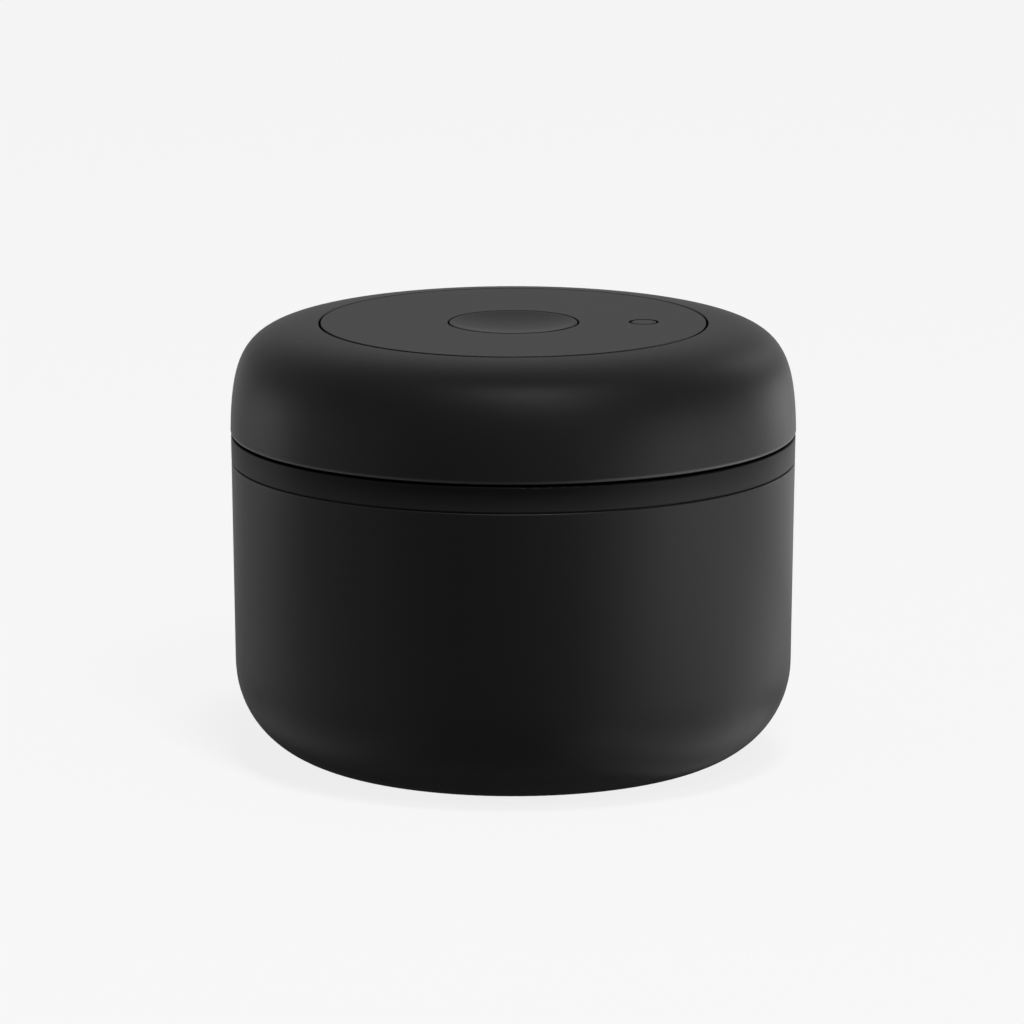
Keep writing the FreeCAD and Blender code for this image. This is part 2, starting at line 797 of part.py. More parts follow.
# Release valve
def release_button():
    """Dished push button with a skirt, a stop flange under the carrier plate and the stem's boss."""
    rim = button_radius - button_rim
    half = rim / 2
    dish_radius = (rim * rim + button_sag * button_sag) / (2 * button_sag)
    half_sag = dish_radius - math.sqrt(dish_radius * dish_radius - half * half)
    skirt = button_radius - button_wall
    flange = button_radius + button_flange_reach
    flange_top_height = button_bottom + button_flange_thickness
    boss = socket_radius + boss_wall
    floor_of_dish = top - button_sag
    edges = [arc((0, floor_of_dish), (half, floor_of_dish + half_sag), (rim, top))]
    edges += chain([(rim, top), (button_radius, top), (button_radius, flange_top_height),
                    (flange, flange_top_height), (flange, button_bottom), (skirt, button_bottom),
                    (skirt, button_ceiling), (boss, button_ceiling), (boss, button_boss_bottom),
                    (socket_radius, button_boss_bottom), (socket_radius, socket_top), (0, socket_top),
                    (0, floor_of_dish)])
    body = turn_edges(edges)
    return round_rings(body, button_round,
                       lambda radius, height: same(radius, button_radius) and same(height, top))


def release_stem():
    """Stem from the button down through the tube to the seal, with a collar and a clip groove."""
    tail = clip_bottom - stem_tail
    groove = stem_radius - clip_groove_depth
    collar_top = seal_top + stem_collar_length
    return turn([(0, tail), (stem_radius, tail), (stem_radius, clip_bottom), (groove, clip_bottom),
                 (groove, seal_bottom), (stem_radius, seal_bottom), (stem_radius, seal_top),
                 (stem_collar_radius, seal_top), (stem_collar_radius, collar_top),
                 (stem_radius, collar_top), (stem_radius, button_boss_bottom),
                 (stem_end_radius, button_boss_bottom), (stem_end_radius, socket_top), (0, socket_top)])


def release_seal():
    """Silicone washer that closes the port in the tub floor from below."""
    return ring(stem_radius + seat_clearance, seal_radius, seal_bottom, seal_top)


def stem_clip():
    """Open spring clip in the stem's groove that holds the seal up."""
    bore = stem_radius - clip_groove_depth + seat_clearance
    return ring(bore, stem_radius + clip_reach, clip_bottom, seal_bottom, FULL_TURN - clip_gap_angle)


def valve_tube():
    """Steel tube in the valve boss: the crosshead slides on it and the stem runs inside."""
    return ring(tube_bore_radius, tube_radius, tube_bottom, tube_top)


def release_spring():
    """Spring on the tube's end that lifts the button and holds the seal shut."""
    return spring((tube_bore_radius + tube_radius) / 2, release_wire, tube_top + seat_clearance,
                  button_ceiling - seat_clearance, release_turns)


# Vacuum indicator
def indicator_sleeve():
    """Bright sleeve round the pin, clamped on the tower and seen only when the pin has sunk."""
    high = top - indicator_lip - seat_clearance
    body = turn([(indicator_bore, tower_top), (tower_radius, tower_top), (tower_radius, carrier_bottom),
                 (sleeve_radius, carrier_bottom), (sleeve_radius, carrier_top),
                 (sleeve_top_radius, carrier_top), (sleeve_top_radius, high), (indicator_bore, high)])
    return moved(body, ACROSS * indicator_offset)


def indicator_pin():
    """Pin flush with the top plate, with a head below that the vacuum pulls down."""
    head = tower_bore_radius - indicator_head_gap
    middle = (indicator_head_bottom + indicator_head_top) / 2
    half = seal_ring_wire / 2 + seat_clearance
    body = turn([(0, indicator_head_bottom), (head, indicator_head_bottom), (head, middle - half),
                 (indicator_pin_radius, middle - half), (indicator_pin_radius, middle + half),
                 (head, middle + half), (head, indicator_head_top),
                 (indicator_pin_radius, indicator_head_top), (indicator_pin_radius, top), (0, top)])
    body = round_rings(body, indicator_round, lambda radius, height: same(height, top))
    return moved(body, ACROSS * indicator_offset)


def indicator_seal():
    """Seal ring in the head's groove."""
    middle = (indicator_head_bottom + indicator_head_top) / 2
    wire_radius = seal_ring_wire / 2
    radius = tower_bore_radius - seal_ring_clearance - wire_radius
    return Part.makeTorus(radius, wire_radius, ACROSS * indicator_offset + UP * middle)


def indicator_spring():
    """Spring in the tower's chamber that lifts the pin when the vacuum is gone."""
    radius = tower_bore_radius - indicator_spring_clearance - indicator_wire / 2
    return spring(radius, indicator_wire, chamber_bottom + seat_clearance,
                  indicator_head_bottom - seat_clearance, indicator_turns, ACROSS * indicator_offset)


# Filter
def filter_grille():
    """Slotted disc with a collar that is pushed into the plug's underside."""
    collar_top = mesh_bottom + grille_collar_height
    body = turn([(0, plug_bottom), (grille_radius, plug_bottom), (grille_radius, collar_top),
                 (collar_bore, collar_top), (collar_bore, mesh_bottom), (0, mesh_bottom)])
    pitch = (collar_bore - grille_hub_radius) / len(grille_slot_counts)
    slots = []
    for row, count in enumerate(grille_slot_counts):
        start = FreeCAD.Vector(grille_hub_radius + pitch * row, -grille_slot_width / 2, plug_bottom - overrun)
        slot = Part.makeBox(pitch - grille_bar, grille_slot_width, grille_thickness + 2 * overrun, start)
        slots += [turned(slot, FULL_TURN * i / count) for i in range(count)]
    return body.cut(slots)


def filter_mesh():
    """Thin filter sheet that lies on the grille."""
    return rod(collar_bore - seat_clearance, mesh_bottom, mesh_bottom + mesh_thickness)


def main():
    """Build every piece and write it to its own file."""
    block_grip = plate_top - screw_boss_bottom - screw_tip_wall - screw_tip_gap
    pieces = {
        "canister_shell": canister_shell(),
        "lid_base": lid_base(),
        "rim_gasket": rim_gasket(),
        "glide_ring": glide_ring(),
        "pump_gasket": pump_gasket(),
        "pump_block": pump_block(),
        "pump_block_screws": screws(plate_top, block_grip, block_screw_circle, block_screw_angles),
        "valve_tube": valve_tube(),
        "release_spring": release_spring(),
        "carrier_plate": carrier_plate(),
        "carrier_screws": screws(carrier_top - screw_recess_depth,
                                 screw_grip + carrier_thickness - screw_recess_depth,
                                 post_circle, post_angles),
        "top_plate": top_plate(),
        "indicator_sleeve": indicator_sleeve(),
        "indicator_spring": indicator_spring(),
        "filter_mesh": filter_mesh(),
        "filter_grille": filter_grille(),
        "cap_shell": cap_shell(),
        "cam_ring": cam_ring(),
        "cam_ring_screws": screws(lug_bottom, lug_thickness + screw_grip, lug_circle, lug_angles, False),
        "crosshead": crosshead(),
        "piston_screws": screws(arm_top - screw_recess_depth, screw_grip, pump_circle, pump_angles),
        "release_button": release_button(),
        "release_stem": release_stem(),
        "release_seal": release_seal(),
        "stem_clip": stem_clip(),
        "indicator_pin": indicator_pin(),
        "indicator_seal": indicator_seal(),
    }
    for number, angle in enumerate(pump_angles, 1):
        pieces[f"inlet_valve_{number}"] = inlet_valve(angle)
        pieces[f"piston_{number}"] = piston(angle)
        pieces[f"piston_cup_{number}"] = piston_cup(angle)
        pieces[f"cam_follower_{number}"] = cam_follower(angle)
    os.makedirs("parts", exist_ok=True)
    for name, shape in pieces.items():
        shape.exportStep(f"parts/{name}.step")
    print(len(pieces), "pieces, height", round(top, 3), "stroke", round(stroke, 3))


main()
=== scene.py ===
# %% [markdown]
# # A matt black vacuum canister
#
# This lesson dresses a round coffee canister whose lid is a hand pump. The solids come from the CAD
# frame and stay where they are. Here they get a camera, finishes, two soft pieces and two springs that
# are modelled here, a floor and studio light. All lengths are metres, and the canister stands on
# Z = 0.

# %% Load the frame
import json
import math
import bpy
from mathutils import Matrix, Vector


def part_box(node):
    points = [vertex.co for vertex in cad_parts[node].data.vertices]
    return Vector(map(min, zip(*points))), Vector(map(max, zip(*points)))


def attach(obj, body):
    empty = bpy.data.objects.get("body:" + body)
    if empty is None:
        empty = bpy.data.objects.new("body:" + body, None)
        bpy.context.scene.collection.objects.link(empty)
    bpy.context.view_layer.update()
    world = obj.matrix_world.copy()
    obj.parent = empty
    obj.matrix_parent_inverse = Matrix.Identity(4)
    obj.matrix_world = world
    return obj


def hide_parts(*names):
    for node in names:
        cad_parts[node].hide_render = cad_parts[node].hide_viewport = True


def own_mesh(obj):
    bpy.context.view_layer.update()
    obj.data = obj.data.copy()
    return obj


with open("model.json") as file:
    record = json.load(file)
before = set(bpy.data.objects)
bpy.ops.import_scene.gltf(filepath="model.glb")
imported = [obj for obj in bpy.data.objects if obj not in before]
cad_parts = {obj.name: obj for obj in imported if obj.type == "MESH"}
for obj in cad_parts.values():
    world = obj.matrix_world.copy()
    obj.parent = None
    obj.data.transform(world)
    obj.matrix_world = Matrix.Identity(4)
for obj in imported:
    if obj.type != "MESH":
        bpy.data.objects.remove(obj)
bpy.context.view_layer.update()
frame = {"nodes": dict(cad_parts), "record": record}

nodes = frame["nodes"]

# %% [markdown]
# ## The camera
#
# The picture was taken from a little above the lid with a long lens, so the ellipses of the lid are
# nearly parallel. The lens length follows from how many pixels one radian covers. The canister sits
# a hair to the right of the picture's middle, so the camera moves a hair to the left.

# %% Camera
picture_pixels = 1024
pixels_per_radian = 10271
camera_distance = 2.0
camera_elevation = math.radians(11.2755)
aim = Vector((-0.00025, 0, 0.04888))
back = Vector((0, -math.cos(camera_elevation), math.sin(camera_elevation)))

camera_data = bpy.data.cameras.new("camera")
camera_data.lens = camera_data.sensor_width * pixels_per_radian / picture_pixels
camera = bpy.data.objects.new("camera", camera_data)
camera.location = aim + back * camera_distance
camera.rotation_euler = back.to_track_quat("Z", "Y").to_euler()
scene = bpy.context.scene
scene.collection.objects.link(camera)
scene.camera = camera
scene.view_settings.view_transform = "Standard"
print("camera lens", round(camera_data.lens, 1), "mm")

# %% [markdown]
# ## Writing shaders as sums
#
# A material is a graph of nodes. Wiring each node by hand hides what the graph works out, so one small
# class wraps an output socket. Sums and products of such signals add Math nodes, and the method
# `node` adds any other kind of node.

# %% A signal in a node tree
class Signal:
    """One output of a node tree, which can be used in sums and products."""

    def __init__(self, tree, socket=None):
        self.tree = tree
        self.socket = socket

    def node(self, kind, output, settings=None, inputs=None):
        """Add a node: its settings come first, then the values or signals of its inputs."""
        made = self.tree.nodes.new(kind)
        for key, value in (settings or {}).items():
            setattr(made, key, value)
        for key, value in (inputs or {}).items():
            target = next(s for s in made.inputs if key in (s.identifier, s.name))
            if isinstance(value, Signal):
                self.tree.links.new(value.socket, target)
            else:
                target.default_value = value
        found = [s for s in made.outputs if output in (s.identifier, s.name)]
        return Signal(self.tree, found[0]) if found else None

    def maths(self, operation, first, second):
        """Add a Math node."""
        return self.node("ShaderNodeMath", "Value", {"operation": operation},
                         {"Value": first, "Value_001": second})

    def __add__(self, other):
        return self.maths("ADD", self, other)

    def __radd__(self, other):
        return self.maths("ADD", other, self)

    def __sub__(self, other):
        return self.maths("SUBTRACT", self, other)

    def __rsub__(self, other):
        return self.maths("SUBTRACT", other, self)

    def __mul__(self, other):
        return self.maths("MULTIPLY", self, other)

    def __rmul__(self, other):
        return self.maths("MULTIPLY", other, self)


# %% [markdown]
# ## Starting and ending a finish
#
# Every finish here starts from the place of a point on the piece, in metres, so a grain of a quarter
# of a millimetre is written as that size. It ends in a Principled shader. The finishes are kept under
# the names that the record gives to its material slots.

# %% Start and end
finishes = {}


def new_finish(name):
    """An empty material, and the signal of the place of each point."""
    material = bpy.data.materials.new(name)
    material.use_nodes = True
    material.node_tree.nodes.clear()
    place = Signal(material.node_tree).node("ShaderNodeTexCoord", "Object")
    return material, place


def close_finish(material, place, inputs):
    """End a material in a Principled shader with these inputs."""
    shader = place.node("ShaderNodeBsdfPrincipled", "BSDF", {}, inputs)
    place.node("ShaderNodeOutputMaterial", None, {}, {"Surface": shader})
    print("finish", material.name, "with", len(material.node_tree.nodes), "nodes")
    return material


# %% [markdown]
# ## Patterns that the finishes share
#
# Cloudy noise gives the colour and the shine a little life, and fine noise gives the surface its grain
# through a Bump node. A mask is a signal from nothing to one, which mixes two colours or fades
# something in over a stretch of height.

# %% Patterns
plain_detail = 2.0
some_detail = 3.0
fine_detail = 4.0
half = 0.5


def noise(place, size, detail=plain_detail):
    """Cloudy noise whose lumps are about this size."""
    return place.node("ShaderNodeTexNoise", "Fac", {},
                      {"Vector": place, "Scale": 1 / size, "Detail": detail})


def stretched(place, scale):
    """The place scaled by axis, so that noise on it is drawn out into lines."""
    return place.node("ShaderNodeMapping", "Vector", {}, {"Vector": place, "Scale": scale})


def between(mask, first, second):
    """A colour that goes from the first to the second with the mask. Each is a signal or three numbers."""
    first, second = [c if isinstance(c, Signal) else (*c, 1) for c in (first, second)]
    return mask.node("ShaderNodeMix", "Result_Color", {"data_type": "RGBA"},
                     {"Factor_Float": mask, "A_Color": first, "B_Color": second})


def varied(middle, mask, spread):
    """A number that strays from its middle, with the mask, over this spread."""
    return middle + (mask - half) * spread


def height_of(place):
    """The height of each point above the table."""
    return place.node("ShaderNodeSeparateXYZ", "Z", {}, {"Vector": place})


def fade(value, none, full):
    """A mask that grows from nothing at one value to everything at another."""
    return value.node("ShaderNodeMapRange", "Result", {},
                      {"Value": value, "From Min": none, "From Max": full})


def bumps(height, depth):
    """A normal that is tilted by a height map whose relief is this deep."""
    return height.node("ShaderNodeBump", "Normal", {}, {"Height": height, "Distance": depth})


# %% [markdown]
# ## Inside and outside of the body
#
# The body is one solid with two skins: bare steel inside, where the coffee lies, and a coat outside.
# A mask tells them apart. A face belongs to the inside where it looks towards the canister's middle.

# %% Mask of the inside
rim_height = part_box("canister_shell")[1].z
bare_middle = (0, 0, rim_height / 2)
bare_edge = 0.004


def bare_inside(place):
    """One on faces that look towards the canister's middle, and nothing on its outside."""
    normal = place.node("ShaderNodeTexCoord", "Normal")
    from_middle = place.node("ShaderNodeVectorMath", "Vector", {"operation": "SUBTRACT"},
                             {"Vector": place, "Vector_001": bare_middle})
    facing = place.node("ShaderNodeVectorMath", "Value", {"operation": "DOT_PRODUCT"},
                        {"Vector": normal, "Vector_001": from_middle})
    return fade(facing, 0, -bare_edge)


print("rim at", round(rim_height, 5))

# %% [markdown]
# ## Powder coat on the steel body
#
# The body is drawn steel under a baked powder coat. The powder melts into a skin with soft waves
# about a millimetre long, which painters call orange peel, and a finer grain on top. The coat is
# very matt, so its mirror part is weak and broad. Hands and the lid rub the rim a little smoother
# than the rest, so a thin gloss fades in over the last third of a millimetre. The bare steel inside
# has fine rings from the brush, and where a ring is light the steel is smoother.

# %% Powder coat
matt_roughness = 0.5
matt_shine = 0.075
edge_roughness = 0.4
rim_rub = 0.00035
rim_gloss = 0.1
coat_dark, coat_light = (0.0019, 0.0019, 0.002), (0.0027, 0.0027, 0.0028)
coat_cloud, coat_peel, coat_grain = 0.018, 0.0011, 0.00025
coat_spread = 0.12
coat_relief = 0.000012
peel_share, grain_share = 0.7, 0.3
bare_dark, bare_light = (0.5, 0.5, 0.49), (0.62, 0.62, 0.61)
ring_size, ring_stretch = 0.0045, 12
bare_polish, ring_polish = 0.1, 0.12


def powder_coat():
    """Matt coat outside and brushed steel inside."""
    material, place = new_finish("powder_coat")
    peel = noise(place, coat_peel, some_detail)
    grain = noise(place, coat_grain)
    rings = noise(stretched(place, (1, 1, ring_stretch)), ring_size, fine_detail)
    bare = bare_inside(place)
    coat = between(noise(place, coat_cloud), coat_dark, coat_light)
    polish = bare * (bare_polish + rings * ring_polish)
    return close_finish(material, place, {
        "Base Color": between(bare, coat, between(rings, bare_dark, bare_light)),
        "Metallic": bare,
        "Roughness": varied(matt_roughness, grain, coat_spread) - polish,
        "Specular IOR Level": matt_shine,
        "Coat Weight": fade(height_of(place), rim_height - rim_rub, rim_height) * rim_gloss,
        "Coat Roughness": edge_roughness,
        "Normal": bumps(peel * peel_share + grain * grain_share, coat_relief),
    })


finishes["powder_coat"] = powder_coat()

# %% [markdown]
# ## Black mouldings
#
# The cap, the disc, the button and the band are moulded. Their moulds were spark eroded, which leaves
# a dense fine grain. One function makes them all. They differ in how dark and how shiny they are, as
# parts from different moulds do. Two more things tell them apart. The cap's lower edge is rubbed by the
# hand that twists it, so a thin gloss grows towards it. The band has painted shade: its colour is
# blackest just under the cap, where the cap would shade it, and a shade lighter towards the rim.

# %% Black mouldings
mould_grain, mould_pit, mould_tone = 0.00016, 0.00035, 0.012
mould_spread = 0.1
mould_relief = 0.00001
mould_blue = 1.03
cap_gloss = 0.4
# Share of the band's colour that is painted shade, darkest under the cap.
band_painted_shade_share = 0.85


def black_moulding(name, dark, light, shine, rubbed=None, painted_shade=None):
    """A grained black moulding. It may be rubbed glossy, or carry painted shade that fades to its light
    tone, between two heights.
    """
    material, place = new_finish(name)
    grain = noise(place, mould_grain)
    pits = place.node("ShaderNodeTexVoronoi", "Distance", {}, {"Vector": place, "Scale": 1 / mould_pit})
    tone_and_painted_shade = noise(place, mould_tone)
    inputs = {"Specular IOR Level": shine}
    # Painted shade: the colour darkens towards the first height, as if shaded there.
    if painted_shade:
        tone_and_painted_shade = tone_and_painted_shade * (1 - band_painted_shade_share) + fade(height_of(place), *painted_shade) * band_painted_shade_share
    if rubbed:
        inputs["Coat Weight"] = fade(height_of(place), *rubbed) * cap_gloss
        inputs["Coat Roughness"] = edge_roughness
    inputs["Base Color"] = between(tone_and_painted_shade, (dark, dark, dark * mould_blue),
                                   (light, light, light * mould_blue))
    inputs["Roughness"] = varied(matt_roughness, grain, mould_spread)
    inputs["Normal"] = bumps(grain * half + pits * half, mould_relief)
    return close_finish(material, place, inputs)


# %% Cap, disc, button and band
cap_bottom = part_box("cap_shell")[0].z
cap_rub = 0.0009
cap_rub_full = 0.0003
# The band's painted shade runs from its darkest just below the cap to its lightest just above the rim.
band_shade_darkest_height = cap_bottom - 0.0013
band_shade_lightest_height = rim_height + 0.0004
moulding_dark, moulding_light = 0.002, 0.0028
# Colour ends of the band. The dark end is its painted shade under the cap.
band_shaded_tone, band_unshaded_tone, band_shine = 0.0006, 0.0068, 0.04

finishes["cap_plastic"] = black_moulding("cap_plastic", moulding_dark, moulding_light, matt_shine,
                                         rubbed=(cap_bottom + cap_rub, cap_bottom + cap_rub_full))
for name in ("top_plastic", "button_plastic"):
    finishes[name] = black_moulding(name, moulding_dark, moulding_light, matt_shine)
finishes["band_plastic"] = black_moulding("band_plastic", band_shaded_tone, band_unshaded_tone, band_shine,
                                          painted_shade=(band_shade_darkest_height, band_shade_lightest_height))

# %% [markdown]
# ## Seals and slides
#
# Silicone is grey and a little dusty. Acetal is a waxy white plastic that lets some light in, so it has
# some subsurface scattering.

# %% Silicone
silicone_clean, silicone_dusty = (0.27, 0.28, 0.29), (0.37, 0.38, 0.39)
dust_size = 0.0015
silicone_roughness, dust_roughness = 0.52, 0.18
silicone_grain, silicone_relief = 0.0003, 0.000008


def silicone():
    """Grey rubber."""
    material, place = new_finish("silicone")
    dust = noise(place, dust_size, fine_detail)
    return close_finish(material, place, {
        "Base Color": between(dust, silicone_clean, silicone_dusty),
        "Roughness": silicone_roughness + dust * dust_roughness,
        "Normal": bumps(noise(place, silicone_grain), silicone_relief),
    })


finishes["silicone"] = silicone()

# %% Acetal
acetal_dark, acetal_light = (0.74, 0.74, 0.71), (0.82, 0.82, 0.79)
acetal_flow = 0.006
acetal_roughness, acetal_spread = 0.3, 0.12
light_inside, light_reach, light_colours = 0.15, 0.001, (1.0, 0.9, 0.7)


def acetal():
    """Waxy white plastic."""
    material, place = new_finish("acetal")
    flow = noise(place, acetal_flow, some_detail)
    return close_finish(material, place, {
        "Base Color": between(flow, acetal_dark, acetal_light),
        "Roughness": acetal_roughness + flow * acetal_spread,
        "Subsurface Weight": light_inside,
        "Subsurface Radius": light_colours,
        "Subsurface Scale": light_reach,
    })


finishes["acetal"] = acetal()

# %% [markdown]
# ## Pump parts and the green sleeve
#
# The pump parts are a grey moulding with glass fibre, whose flow shows as faint streaks along the axis.
# The indicator's sleeve is a smooth bright green, which is seen only when the pin has sunk.

# %% Pump plastic
pump_dark, pump_light = (0.31, 0.32, 0.33), (0.41, 0.42, 0.43)
streak_size, streak_stretch = 0.0012, 0.2
pump_roughness, streak_roughness = 0.4, 0.2
streak_relief = 0.000012


def pump_plastic():
    """Grey moulding with streaks of fibre."""
    material, place = new_finish("pump_plastic")
    streaks = noise(stretched(place, (1, 1, streak_stretch)), streak_size, fine_detail)
    return close_finish(material, place, {
        "Base Color": between(streaks, pump_dark, pump_light),
        "Roughness": pump_roughness + streaks * streak_roughness,
        "Normal": bumps(streaks, streak_relief),
    })


finishes["pump_plastic"] = pump_plastic()

# %% Signal green
green_dark, green_light = (0.06, 0.38, 0.14), (0.08, 0.46, 0.18)
green_flow = 0.002
green_roughness, green_spread = 0.22, 0.08


def signal_green():
    """Smooth bright plastic."""
    material, place = new_finish("indicator_green")
    flow = noise(place, green_flow)
    return close_finish(material, place, {
        "Base Color": between(flow, green_dark, green_light),
        "Roughness": green_roughness + flow * green_spread,
    })


finishes["indicator_green"] = signal_green()

# %% [markdown]
# ## Steel parts
#
# Ground tube, drawn wire and plated screws are all steel. What tells them apart is the way the
# tool marks run, so one function takes how far the marks are drawn out along the axis.

# %% Steel
mark_size, mark_relief = 0.0003, 0.000006
mark_spread = 0.16
steel_blue = 1.01


def steel(name, dark, light, roughness, drawn_out):
    """Steel with tool marks."""
    material, place = new_finish(name)
    marks = noise(stretched(place, (1, 1, drawn_out)), mark_size, fine_detail)
    return close_finish(material, place, {
        "Base Color": between(marks, (dark, dark, dark * steel_blue), (light, light, light * steel_blue)),
        "Metallic": 1.0,
        "Roughness": varied(roughness, marks, mark_spread),
        "Normal": bumps(marks, mark_relief),
    })


finishes["screw_steel"] = steel("screw_steel", dark=0.48, light=0.6, roughness=0.34, drawn_out=1.0)
finishes["spring_steel"] = steel("spring_steel", dark=0.44, light=0.56, roughness=0.3, drawn_out=0.5)
finishes["tube_steel"] = steel("tube_steel", dark=0.54, light=0.66, roughness=0.26, drawn_out=8.0)

# %% [markdown]
# ## Filter cloth
#
# The filter is a thin cloth with a plain weave. Two crossing bands of waves make the threads, and where
# one is high the other dips. The Wave node turns by 20 radians in one unit at scale 1, so the scale
# follows from how far apart the threads lie.

# %% Filter cloth
thread_pitch = 0.0007
thread_wander = 0.6
wave_radians = 20
weave_depth = 0.00005
cloth_low, cloth_high = (0.5, 0.49, 0.46), (0.76, 0.75, 0.72)
cloth_roughness, thread_polish = 0.9, 0.1


def filter_cloth():
    """Plain weave."""
    material, place = new_finish("filter_fabric")
    weave_scale = 2 * math.pi / (wave_radians * thread_pitch)
    along, across = [place.node("ShaderNodeTexWave", "Fac", {"bands_direction": axis},
                                {"Vector": place, "Scale": weave_scale, "Distortion": thread_wander})
                     for axis in ("X", "Y")]
    weave = along * across
    return close_finish(material, place, {
        "Base Color": between(weave, cloth_low, cloth_high),
        "Roughness": cloth_roughness - weave * thread_polish,
        "Normal": bumps(weave, weave_depth),
    })


finishes["filter_fabric"] = filter_cloth()

# %% [markdown]
# ## Give every solid its finish
#
# The record names a material slot for each solid, so each one takes the finish of that name.

# %% Finishes by slot
for part in frame["record"]["subparts"]:
    worn = nodes[part["node"]].data.materials
    worn.clear()
    worn.append(finishes[part["material_slot"]])
print("finishes", len(finishes))

# %% [markdown]
# ## Turning a ring
#
# A ring is made as on a lathe: one circle is extruded from point to point of its profile, the last ring
# is merged with the first, and a Bevel modifier rounds all the corners.

# %% Turned rings
ring_steps = 192
merge_distance = 0.000002
smooth_angle = math.radians(40)


def turned_ring(name, profile):
    """A closed ring, made by extruding a circle along (radius, height) points."""
    bpy.ops.object.select_all(action="DESELECT")
    radius, height = profile[0]
    bpy.ops.mesh.primitive_circle_add(vertices=ring_steps, radius=radius, location=(0, 0, height))
    piece = bpy.context.object
    piece.name = name
    bpy.ops.object.transform_apply(location=True)
    bpy.ops.object.mode_set(mode="EDIT")
    bpy.ops.mesh.select_all(action="SELECT")
    for next_radius, next_height in profile[1:] + profile[:1]:
        bpy.ops.mesh.extrude_edges_move(TRANSFORM_OT_translate={"value": (0, 0, next_height - height)})
        share = next_radius / radius
        bpy.ops.transform.resize(value=(share, share, 1), center_override=(0, 0, next_height))
        radius, height = next_radius, next_height
    bpy.ops.mesh.select_all(action="SELECT")
    bpy.ops.mesh.remove_doubles(threshold=merge_distance)
    bpy.ops.mesh.normals_make_consistent(inside=False)
    bpy.ops.object.mode_set(mode="OBJECT")
    return piece


def rounded(piece, width, segments):
    """Round the sharp edges of a piece and shade it smooth."""
    bevel = piece.modifiers.new("round", "BEVEL")
    bevel.width = width
    bevel.segments = segments
    bevel.limit_method = "ANGLE"
    bpy.ops.object.modifier_apply(modifier=bevel.name)
    bpy.ops.object.shade_smooth_by_angle(angle=smooth_angle)
    piece.data.materials.clear()
    return piece


# %% [markdown]
# ## The rim gasket
#
# A silicone ring sits in a groove of the plug. Its two thin lips lean up and wipe the canister's wall.
# The CAD ring has sharp corners, but moulded silicone is soft and round, so the ring is turned again
# with rounded lips.

# %% Rim gasket
gasket_low, gasket_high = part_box("rim_gasket")
gasket_bottom, gasket_top = gasket_low.z, gasket_high.z
gasket_reach = 0.00497
gasket_wall = 0.0018
lip_count = 2
lip_start = 0.0005
lip_rise = 0.0012
lip_tip = 0.0007
lip_setback = 0.0001
gasket_round = 0.00022
round_steps = 3

lip_radius = gasket_high.x - lip_setback
gasket_bore = gasket_high.x - gasket_reach
gasket_body = gasket_bore + gasket_wall
gasket_profile = [(gasket_bore, gasket_bottom), (gasket_body, gasket_bottom)]
for lip in range(lip_count):
    root = gasket_bottom + lip_start + (gasket_top - gasket_bottom) * lip / lip_count
    gasket_profile += [(gasket_body, root), (lip_radius, root + lip_rise),
                       (lip_radius, root + lip_rise + lip_tip), (gasket_body, root + lip_rise)]
gasket_profile += [(gasket_body, gasket_top), (gasket_bore, gasket_top)]
gasket = rounded(turned_ring("soft_rim_gasket", gasket_profile), gasket_round, round_steps)
gasket.data.materials.append(finishes["silicone"])
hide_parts("rim_gasket")
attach(gasket, "lid_base")
print("gasket faces", len(gasket.data.polygons))

# %% [markdown]
# ## The filter sheet
#
# A disc of filter cloth lies on the grille and keeps coffee dust out of the valves. It is cut flat, so
# a filled circle with a few inset rings is enough, and a Solidify modifier gives it its thickness.

# %% Filter sheet
sheet_low, sheet_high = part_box("filter_mesh")
sheet_radius = sheet_high.x
inset_count = 6
bpy.ops.object.select_all(action="DESELECT")
bpy.ops.mesh.primitive_circle_add(vertices=ring_steps, radius=sheet_radius, fill_type="NGON",
                                  location=(0, 0, sheet_low.z))
filter_sheet = bpy.context.object
filter_sheet.name = "filter_cloth"
bpy.ops.object.transform_apply(location=True)
bpy.ops.object.mode_set(mode="EDIT")
bpy.ops.mesh.select_all(action="SELECT")
for step in range(inset_count):
    bpy.ops.mesh.inset(thickness=sheet_radius / (inset_count + 1))
bpy.ops.object.mode_set(mode="OBJECT")
thick = filter_sheet.modifiers.new("thickness", "SOLIDIFY")
thick.thickness = sheet_high.z - sheet_low.z
thick.offset = 1
bpy.ops.object.modifier_apply(modifier=thick.name)
filter_sheet.data.materials.append(finishes["filter_fabric"])
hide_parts("filter_mesh")
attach(filter_sheet, "lid_base")
print("filter sheet across", round(2 * sheet_radius, 4))

# %% [markdown]
# ## Coiling a spring
#
# A spring is a coil of drawn wire. A circle, the wire's section, is swept up a helix by a Screw modifier,
# and the cut ends are closed.

# %% Coils
wire_sides = 16
turn_steps = 48
quarter_turn = math.pi / 2


